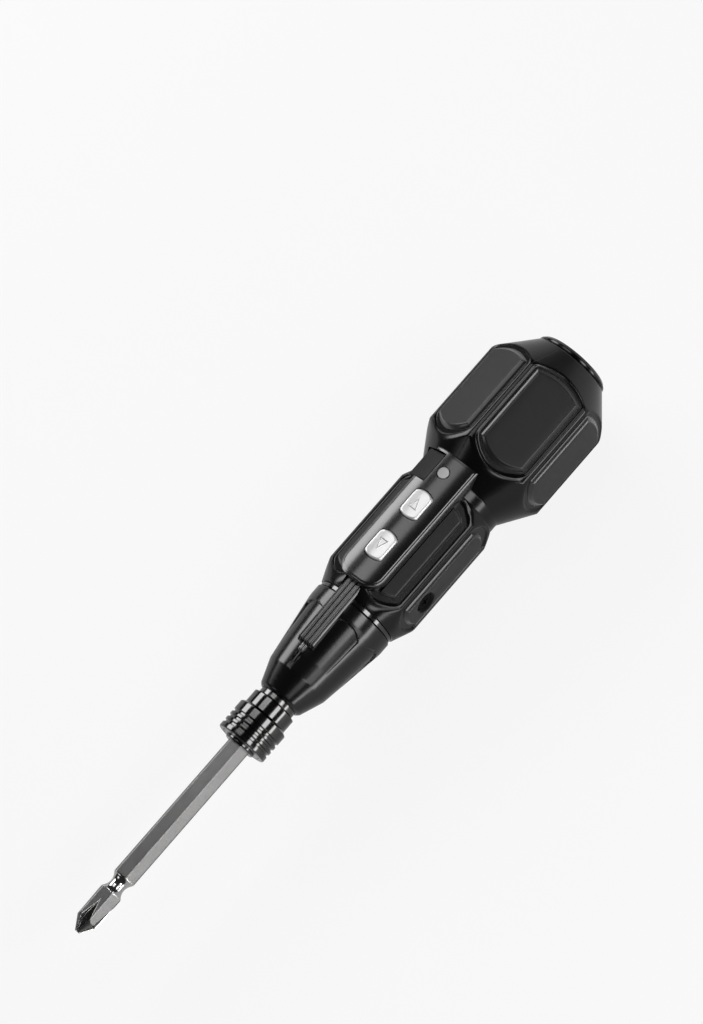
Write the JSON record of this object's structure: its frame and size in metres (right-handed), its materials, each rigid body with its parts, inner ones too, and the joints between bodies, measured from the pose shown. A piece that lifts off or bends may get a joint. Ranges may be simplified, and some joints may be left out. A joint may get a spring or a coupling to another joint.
{
  "type": "electric screwdriver",
  "caption": "Cordless in-line electric screwdriver with a six-sided grip and bulb, sliding collar chuck, double-ended cross bit, two press buttons and a charging port under a flap.",
  "frame": {"origin": "centre of the bit socket's mouth, on the tool's axis", "axes": "+X along the tool's axis towards its tail, +Z towards the buttons"},
  "size_m": [0.2062, 0.0364, 0.0394],
  "materials": {
    "housing_plastic": "satin black moulded plastic with soft gradients",
    "strip_plastic": "glossy black moulded plastic",
    "pad_rubber": "matte dark grey soft-touch pad",
    "flap_rubber": "matte black rubber",
    "black_chrome": "dark polished plated metal",
    "bright_metal": "bright turned metal",
    "bit_steel": "satin grey tool steel",
    "button_silver": "fine silver",
    "lens_grey": "frosted grey light pipe",
    "lamp_clear": "clear lamp body",
    "gear_metal": "sintered steel",
    "bush_bronze": "oiled bronze",
    "motor_steel": "plated steel can",
    "magnet_grey": "dark sintered magnet",
    "winding_copper": "enamelled copper and laminations",
    "board_green": "solder-masked circuit board",
    "switch_black": "small moulded switch",
    "cell_wrap": "shrink-wrapped cell",
    "nickel": "nickel strip",
    "lead_red": "insulated wire",
    "screw_steel": "zinc-plated screw"
  },
  "bodies": {
    "handle": {"housing_left": "housing_plastic", "housing_right": "housing_plastic", "nose_cone": "housing_plastic", "seam_ring": "black_chrome", "lead_cover": "strip_plastic", "control_cover": "strip_plastic", "tail_cap": "black_chrome", "button_switches": "switch_black", "indicator_lens": "lens_grey", "control_board": "board_green", "charge_port": "nickel", "charge_board": "board_green", "housing_screws": "screw_steel", "battery_cell": "cell_wrap", "battery_tabs": "nickel", "power_leads": "lead_red", "motor_leads": "lead_red", "led_leads": "lead_red", "work_led": "lamp_clear", "thrust_washer": "bright_metal", "spindle_bush": "bush_bronze", "ring_gear": "gear_metal", "gearbox_plate": "motor_steel", "motor_screws": "screw_steel", "motor_can": "motor_steel", "motor_magnets": "magnet_grey", "motor_end_bell": "switch_black", "motor_cradle": "switch_black", "bulb_pad_1": "pad_rubber", "grip_pad_1": "pad_rubber", "bulb_pad_2": "pad_rubber", "grip_pad_2": "pad_rubber", "bulb_pad_3": "pad_rubber", "grip_pad_3": "pad_rubber", "bulb_pad_4": "pad_rubber", "grip_pad_4": "pad_rubber", "bulb_pad_5": "pad_rubber", "grip_pad_5": "pad_rubber", "bulb_pad_6": "pad_rubber", "grip_pad_6": "pad_rubber"},
    "spindle": {"spindle": "gear_metal", "bit_magnet": "magnet_grey", "bit_clip": "screw_steel", "collar_ring": "screw_steel", "collar_spring": "screw_steel"},
    "collar": {"chuck_collar": "black_chrome"},
    "bit": {"driver_bit": "bit_steel"},
    "carrier": {"stage1_carrier": "gear_metal"},
    "rotor": {"motor_shaft": "motor_steel", "motor_armature": "winding_copper", "motor_pinion": "bush_bronze"},
    "forward_button": {"forward_button": "button_silver"},
    "reverse_button": {"reverse_button": "button_silver"},
    "port_cover": {"port_cover": "flap_rubber"},
    "front_planet_1": {"stage2_planet_1": "gear_metal"},
    "rear_planet_1": {"stage1_planet_1": "gear_metal"},
    "front_planet_2": {"stage2_planet_2": "gear_metal"},
    "rear_planet_2": {"stage1_planet_2": "gear_metal"},
    "front_planet_3": {"stage2_planet_3": "gear_metal"},
    "rear_planet_3": {"stage1_planet_3": "gear_metal"}
  },
  "joints": [
    {"name": "spindle_spin", "type": "hinge", "parent": "handle", "child": "spindle", "pos_m": [0, 0, 0], "axis": [1, 0, 0], "continuous": true},
    {"name": "collar_slide", "type": "slide", "parent": "spindle", "child": "collar", "axis": [-1, 0, 0], "range_m": [0, 0.0035], "stiffness_N_per_m": 500, "deforming": ["collar_spring"]},
    {"name": "bit_draw", "type": "slide", "parent": "spindle", "child": "bit", "axis": [-1, 0, 0], "range_m": [0, 0.026], "deforming": ["bit_clip"]},
    {"name": "carrier_spin", "type": "hinge", "parent": "handle", "child": "carrier", "pos_m": [0.034, 0, 0], "axis": [1, 0, 0], "continuous": true},
    {"name": "motor_spin", "type": "hinge", "parent": "handle", "child": "rotor", "pos_m": [0.05, 0, 0], "axis": [1, 0, 0], "continuous": true},
    {"name": "front_planet_1_spin", "type": "hinge", "parent": "spindle", "child": "front_planet_1", "pos_m": [0.0304, 0.0048, 0], "axis": [1, 0, 0], "continuous": true},
    {"name": "rear_planet_1_spin", "type": "hinge", "parent": "carrier", "child": "rear_planet_1", "pos_m": [0.0372, 0.0048, 0], "axis": [1, 0, 0], "continuous": true},
    {"name": "front_planet_2_spin", "type": "hinge", "parent": "spindle", "child": "front_planet_2", "pos_m": [0.0304, -0.0024, 0.00416], "axis": [1, 0, 0], "continuous": true},
    {"name": "rear_planet_2_spin", "type": "hinge", "parent": "carrier", "child": "rear_planet_2", "pos_m": [0.0372, -0.0024, 0.00416], "axis": [1, 0, 0], "continuous": true},
    {"name": "front_planet_3_spin", "type": "hinge", "parent": "spindle", "child": "front_planet_3", "pos_m": [0.0304, -0.0024, -0.00416], "axis": [1, 0, 0], "continuous": true},
    {"name": "rear_planet_3_spin", "type": "hinge", "parent": "carrier", "child": "rear_planet_3", "pos_m": [0.0372, -0.0024, -0.00416], "axis": [1, 0, 0], "continuous": true},
    {"name": "forward_press", "type": "slide", "parent": "handle", "child": "forward_button", "axis": [0, 0, -1], "range_m": [0, 0.0005], "stiffness_N_per_m": 1200},
    {"name": "reverse_press", "type": "slide", "parent": "handle", "child": "reverse_button", "axis": [0, 0, -1], "range_m": [0, 0.0005], "stiffness_N_per_m": 1200},
    {"name": "port_flap", "type": "hinge", "parent": "handle", "child": "port_cover", "pos_m": [0.09015, 0.00896, 0.01064], "axis": [-1, 0, 0], "range_deg": [0, 90]}
  ],
  "couplings": [
    {"joint": "carrier_spin", "follows": "spindle_spin", "ratio": 4},
    {"joint": "motor_spin", "follows": "spindle_spin", "ratio": 16},
    {"joint": "front_planet_1_spin", "follows": "spindle_spin", "ratio": -3},
    {"joint": "rear_planet_1_spin", "follows": "spindle_spin", "ratio": -12},
    {"joint": "front_planet_2_spin", "follows": "spindle_spin", "ratio": -3},
    {"joint": "rear_planet_2_spin", "follows": "spindle_spin", "ratio": -12},
    {"joint": "front_planet_3_spin", "follows": "spindle_spin", "ratio": -3},
    {"joint": "rear_planet_3_spin", "follows": "spindle_spin", "ratio": -12}
  ]
}
